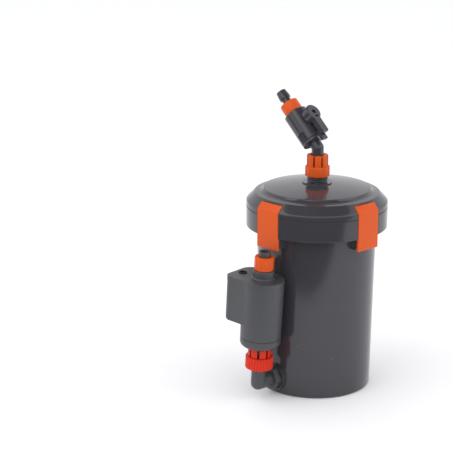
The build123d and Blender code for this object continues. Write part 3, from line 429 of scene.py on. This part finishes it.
def floorSheet():
    # flat square sheet just under the object: x and y even, height constant
    side = np.linspace(-studio["floorSize"], studio["floorSize"], 13)
    x, y = np.meshgrid(side, side, indexing="ij")
    points = np.stack([x, y, np.full_like(x, -0.0003)], -1)
    mesh = bpy.data.meshes.new("floor")
    mesh.from_pydata(points.reshape(-1, 3).tolist(), [], [f[::-1] for f in gridFaces(13, 13, False, False)])
    paint = Paint("pale floor")
    cloud = paint.noise(0.6, 2)
    pale = studio["floorColour"]
    mesh.materials.append(paint.done({
        "Base Color": paint.blend(cloud, tuple(0.985 * c for c in pale), pale),
        "Roughness": 0.7, "Specular IOR Level": 0.2,
        "Emission Color": (1.0, 1.0, 1.0, 1.0), "Emission Strength": studio["floorGlow"],
    }))
    floor = bpy.data.objects.new("floor", mesh)
    bpy.context.scene.collection.objects.link(floor)


def darkCard(name, card):
    # a level dark sheet, seen only in reflections: near edge + side * across + depth * ahead
    turn = radians(card["turn"])
    across = np.array((np.cos(turn), -np.sin(turn), 0.0))
    ahead = np.array((-np.sin(turn), -np.cos(turn), 0.0))
    side = np.linspace(-card["half"], card["half"], 7)[:, None, None]
    deep = np.linspace(0.0, card["depth"], 5)[None, :, None]
    points = np.array(card["near"]) + side * across + deep * ahead
    mesh = bpy.data.meshes.new(name)
    mesh.from_pydata(points.reshape(-1, 3).tolist(), [], gridFaces(7, 5, False, False))
    paint = Paint(name)
    shade = paint.noise(0.5, 2)
    mesh.materials.append(paint.done({
        "Base Color": paint.blend(shade, (0.010, 0.010, 0.011), (0.02, 0.02, 0.021)), "Roughness": 0.9,
        "Specular IOR Level": 0.0,
    }))
    sheet = bpy.data.objects.new(name, mesh)
    bpy.context.scene.collection.objects.link(sheet)
    sheet.visible_camera = False
    sheet.visible_diffuse = False
    sheet.visible_transmission = False
    sheet.visible_shadow = False


floorSheet()
for cardName, card in darkCards.items():
    darkCard(cardName, card)
world = bpy.data.worlds.new("studio")
world.use_nodes = True
world.node_tree.nodes["Background"].inputs["Color"].default_value = (0.97, 0.975, 1.0, 1.0)
world.node_tree.nodes["Background"].inputs["Strength"].default_value = studio["worldStrength"]
bpy.context.scene.world = world
bpy.context.scene.view_settings.view_transform = "Standard"

softBoxes = {
    "key": {"place": (-1.2, -0.9, 2.3), "aim": (0, 0, 0.15), "size": 2.0, "power": 14.0},
    "fill": {"place": (1.8, -0.4, 1.3), "aim": (0, 0, 0.15), "size": 1.6, "power": 5.0},
}
for name, box in softBoxes.items():
    lamp = bpy.data.lights.new(name, "AREA")
    lamp.size = box["size"]
    lamp.energy = box["power"]
    holder = bpy.data.objects.new(name, lamp)
    holder.location = box["place"]
    holder.rotation_euler = (Vector(box["aim"]) - Vector(box["place"])).to_track_quat("-Z", "Y").to_euler()
    bpy.context.scene.collection.objects.link(holder)


def ribbed(radius, angle, ribs):
    # radius less a shallow flute between ribs: depth * ((1 - cos(count * angle)) / 2) ** sharpness
    wave = (0.5 - 0.5 * np.cos(ribs["count"] * angle)) ** ribs["sharpness"]
    return radius - ribs["depth"] * wave


def lathedRing(spindle, loop, angle, ribs):
    # a closed outline turned about the axis; outline points beyond the grip radius carry the ribs
    radius, height = loop[:, 0][:, None], loop[:, 1][:, None]
    turn = angle[None, :]
    fluted = np.where(radius > ribs["from"], ribbed(radius, turn, ribs), radius + 0 * turn)
    return spindle.point(fluted, turn + 0 * radius, height + 0 * turn)


def castleNut(name, nodeName, jointName, body, slotName, look):
    # a fluted band under a crown that is split into teeth: one ring and one swept block for each tooth
    spindle = Spindle(jointName)
    radius, angle, height = spindle.measure(nodeName)
    base, top = height.min(), height.max()
    bandR, inner, lip = radius.max(), radius[height < base + 0.2 * mm].min(), radius.min()
    crownR = radius[height > top - 1.2 * mm].max()
    shoulder = base + look["band"]
    lap = shoulder + 0.4 * mm  # how far the band and the teeth run into each other
    edge = look["edge"]
    ring = roundedLoop(
        [(inner, base), (bandR, base), (bandR, shoulder), (crownR - 0.1 * mm, lap), (inner, lap)],
        edge,
    )
    sides = look["sides"]
    turns = np.linspace(0, 2 * pi, sides, endpoint=False)
    ribs = look | {"count": look["ribs"], "from": bandR - 1.3 * mm}
    points = [lathedRing(spindle, ring, turns, ribs).reshape(-1, 3)]
    faces = [f[::-1] for f in gridFaces(len(ring), sides, True, True)]
    root = 0.6 * mm
    outline = roundedLoop(
        [(inner + 0.05 * mm, shoulder - root), (crownR, shoulder - root), (crownR, top), (lip, top),
         (lip, look["seat"] + base), (inner + 0.05 * mm, look["seat"] + base)],
        edge,
    )
    middle = outline.mean(0)
    count = look["teeth"]
    pitch = 2 * pi / count
    first = radians(look["firstSlot"])
    share = np.array([0.0, 0.0, 0.04, 0.12, 0.3, 0.5, 0.7, 0.88, 0.96, 1.0, 1.0])
    inset = np.array([0.75, 0.25, 0.07, 0, 0, 0, 0, 0, 0.07, 0.25, 0.75])[:, None, None] * edge
    toward = (middle - outline) / np.linalg.norm(middle - outline, axis=1)[:, None]
    section = outline[None] + inset * toward[None]
    used = len(ring) * sides
    rows, columns = len(share), len(outline)
    half = look["slot"] / 2 / np.maximum(section[..., 0], lip)
    for tooth in range(count):
        start = first + tooth * pitch + half
        stop = first + (tooth + 1) * pitch - half
        turn = start + (stop - start) * share[:, None]
        points.append(spindle.point(section[..., 0], turn, section[..., 1]).reshape(-1, 3))
        faces += [f[::-1] for f in gridFaces(rows, columns, False, True, used)]
        faces.append(list(range(used, used + columns)))
        faces.append(list(range(used + (rows - 1) * columns, used + rows * columns))[::-1])
        used += rows * columns
    return piece(name, np.concatenate(points), faces, body, slotName, (nodeName,), 40)


def gripNut(name, nodeName, jointName, body, slotName, look):
    # a plain union nut: its own turned outline, with fine flutes round the grip
    spindle = Spindle(jointName)
    radius, angle, height = spindle.measure(nodeName)
    base, top, outer = height.min(), height.max(), radius.max()
    bore, mouth = radius[height < base + 0.2 * mm].min(), radius.min()
    shelf = base + look["shelf"]
    loop = roundedLoop(
        [(bore, base), (outer, base), (outer, top), (mouth, top), (mouth, shelf), (bore, shelf)],
        look["edge"],
    )
    turns = np.linspace(0, 2 * pi, look["sides"], endpoint=False)
    ribs = {"count": look["ribs"], "depth": look["depth"], "sharpness": 1.0, "from": outer - 0.0011}
    points = lathedRing(spindle, loop, turns, ribs)
    faces = [f[::-1] for f in gridFaces(len(loop), look["sides"], True, True)]
    return piece(name, points, faces, body, slotName, (nodeName,), 50)


castleNut("inlet_collar_nut", "inlet_nut", "inlet_nut_turn", "inlet_nut", "orange_plastic", {
    "band": 11.2 * mm, "seat": 14.55 * mm, "edge": 0.7 * mm, "ribs": 8, "depth": 0.9 * mm, "sharpness": 5.0,
    "teeth": 8, "slot": 1.9 * mm, "firstSlot": -66.0, "sides": 256,
})
castleNut("pump_collar_nut", "pump_inlet_nut", "pump_inlet_nut_turn", "pump_inlet_nut", "red_plastic", {
    "band": 14.0 * mm, "seat": 14.35 * mm, "edge": 0.7 * mm, "ribs": 28, "depth": 0.9 * mm, "sharpness": 2.2,
    "teeth": 8, "slot": 2.6 * mm, "firstSlot": -6.0, "sides": 320,
})
gripNut("hose_union_nut", "hose_nut", "hose_nut_turn", "hose_nut", "orange_plastic", {
    "shelf": 11.0 * mm, "edge": 0.8 * mm, "ribs": 24, "depth": 0.1 * mm, "sides": 288,
})
gripNut("outlet_union_nut", "outlet_nut", "outlet_nut_turn", "outlet_nut", "orange_plastic", {
    "shelf": 11.0 * mm, "edge": 0.7 * mm, "ribs": 12, "depth": 0.5 * mm, "sides": 288,
})
print("nuts made")


def tubeFaces(rows, columns, first=0):
    # a grid closed round its columns, with a flat cap at each end
    faces = gridFaces(rows, columns, False, True, first)
    faces.append(list(range(first, first + columns))[::-1])
    faces.append(list(range(first + (rows - 1) * columns, first + rows * columns)))
    return faces


def neckThread(look):
    # a helix on the lid's neck: height = start + pitch * turn / 2 pi, its crest fading out at both ends
    spindle = Spindle("inlet_nut_turn")
    turn = np.linspace(0, 2 * pi * look["turns"], look["steps"])[:, None]
    ring = np.linspace(0, 2 * pi, 12, endpoint=False)[None, :]
    fade = np.minimum(1, np.minimum(turn, turn[-1] - turn) / 1.2)
    radius = look["root"] + (look["crest"] - look["root"]) * fade * np.cos(ring)
    height = look["start"] + look["pitch"] * turn / (2 * pi) + look["half"] * np.sin(ring)
    points = spindle.point(radius, turn + 0 * ring, height)
    return piece("neck_thread", points, tubeFaces(look["steps"], ring.size), "lid", "dark_plastic")


def leverGrips(look):
    # short bars on the lever's two sides near its tip, of half-thickness half * (1 - |2 t - 1| ** 4) ** 0.5
    spindle = Spindle("lever_turn")
    valveAxis = Spindle("hose_nut_turn").up
    toTip = -valveAxis
    across = np.cross(spindle.up, toTip)
    mesh = frame["nodes"]["lever"].data
    found = np.empty(3 * len(mesh.vertices))
    mesh.vertices.foreach_get("co", found)
    away = found.reshape(-1, 3) - spindle.origin
    reach, side, height = away @ toTip, away @ across, away @ spindle.up
    arm = reach > reach.max() - look["zone"]
    halfWidth = side[arm].max()
    low, high = height[arm].min() + look["margin"], height[arm].max() - look["margin"]
    t = np.linspace(0, 1, 11)[:, None]
    ring = np.linspace(0, 2 * pi, 10, endpoint=False)[None, :]
    thick = look["half"] * np.sqrt(np.maximum(1 - np.abs(2 * t - 1) ** 4, 0.02))
    rows, columns = len(t), ring.size
    points, faces, used = [], [], 0
    for flank in (-1, 1):
        for number in range(look["count"]):
            along = reach.max() - look["first"] - number * look["pitch"] + thick * np.cos(ring)
            beside = flank * halfWidth + 0.8 * thick * np.sin(ring)
            up = low + (high - low) * t + 0 * ring
            bar = along[..., None] * toTip + beside[..., None] * across + up[..., None] * spindle.up
            points.append((spindle.origin + bar).reshape(-1, 3))
            faces += tubeFaces(rows, columns, used)
            used += rows * columns
    return piece("lever_grips", np.concatenate(points), faces, "lever", "dark_plastic")


def mediaPad(name, nodeName, slotName, look):
    # a cut disc of foam: a rounded outline turned about the barrel's axis, less a seeded sum of
    # share * (1 - cos(waves * angle + phase)) / (2 * waves)
    low, high = (np.array(corner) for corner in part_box(nodeName))
    outer = min(high[0], high[1]) - look["slack"]
    narrow = outer - look["draft"] * (high[2] - low[2])
    cut = look["cut"]
    bend = np.linspace(0, pi / 2, 6)
    flat = np.linspace(0.02, 1, 16)[:-1]
    rise = np.linspace(0, 1, 9)[1:-1]
    below = low[2] + look["gap"]
    above = high[2] - look["gap"]
    radius = np.concatenate([
        flat * (narrow - cut), narrow - cut + cut * np.sin(bend), narrow + (outer - narrow) * rise,
        outer - cut + cut * np.cos(bend), flat[::-1] * (outer - cut),
    ])[:, None]
    height = np.concatenate([
        0 * flat + below, below + cut - cut * np.cos(bend), below + cut + (above - below - 2 * cut) * rise,
        above - cut + cut * np.sin(bend), 0 * flat + above,
    ])[:, None]
    turn = np.linspace(0, 2 * pi, look["sides"], endpoint=False)[None, :]
    seed = np.random.default_rng(look["seed"])
    sag = 0 * radius * turn
    for waves in (2, 3, 5, 9):
        phase, share = seed.uniform(0, 2 * pi), seed.uniform(0.5, 1.0)
        sag = sag + share * (1 - np.cos(waves * turn + phase)) / (2 * waves)
    top = height > (below + above) / 2
    radius = radius * (1 - look["sag"] * sag * 0.01)
    height = height - np.where(top, 1, -1) * look["sag"] * sag * mm * (radius / outer)
    turn = turn + 0 * radius
    points = np.stack([radius * np.cos(turn), radius * np.sin(turn), height], -1)
    made = piece(name, points, tubeFaces(len(radius), look["sides"]), "canister", slotName, (nodeName,), 60)
    return made


def sealEdgeAndGapShade(look):
    # the seal's edge, just proud of the lid's foot, a dark ring that also stands in for the painted shadow
    # of the gap between lid and barrel: its radius is the lid's, or pad / cos(angle) on a flat
    rows, columns = look["sides"], 8
    turn = np.linspace(0, 2 * pi, rows, endpoint=False)[:, None]
    ring = np.linspace(0, 2 * pi, columns, endpoint=False)[None, :]
    away = turn % (pi / 2) - pi / 4
    flat = look["pad"] / np.cos(away)
    onFlat = (np.abs(np.tan(away)) * look["pad"] < look["pocket"]) & (flat < look["radius"])
    radius = np.where(onFlat, flat, look["radius"]) + look["proud"] * np.cos(ring) - look["proud"] / 2
    height = look["height"] + look["half"] * np.sin(ring) + 0 * turn
    points = np.stack([radius * np.cos(turn), radius * np.sin(turn), height], -1)
    faces = gridFaces(rows, columns, True, True)
    return piece("seal_edge_and_gap_shade", points, faces, "lid", "seal_rubber")


# a dark ring round the parting line: the seal's edge, and also the painted shadow of the gap
sealEdgeAndGapShade({
    "sides": 720, "pad": 75.8 * mm, "pocket": 16.6 * mm, "radius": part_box("lid")[1][0], "proud": 0.12 * mm,
    "half": 0.5 * mm, "height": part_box("barrel")[1][2] + 0.4 * mm,
})
neckThread({
    "turns": 2.0, "steps": 200, "root": 10.9 * mm, "crest": 12.2 * mm, "pitch": 2.3 * mm, "start": -5.7 * mm,
    "half": 0.95 * mm,
})
leverGrips({
    "zone": 12 * mm, "margin": 0.9 * mm, "half": 0.5 * mm, "count": 6, "first": 4.0 * mm, "pitch": 1.9 * mm,
})
discCut = {
    "slack": 0.1 * mm, "draft": 0.02, "cut": 2.2 * mm, "gap": 0.1 * mm, "sides": 128, "sag": 0.5,
    "fill": 0.8,
}
mediaPad("floss_disc", "floss_pad", "white_floss", discCut | {"seed": 3, "fill": 0.6, "cut": 3.5 * mm})
mediaPad("yellow_disc", "sponge_yellow", "yellow_foam", discCut | {"seed": 5})
mediaPad("blue_disc", "sponge_blue", "blue_foam", discCut | {"seed": 7})
mediaPad("black_disc", "sponge_black", "black_foam", discCut | {"seed": 9})
print("threads, grips and media made")
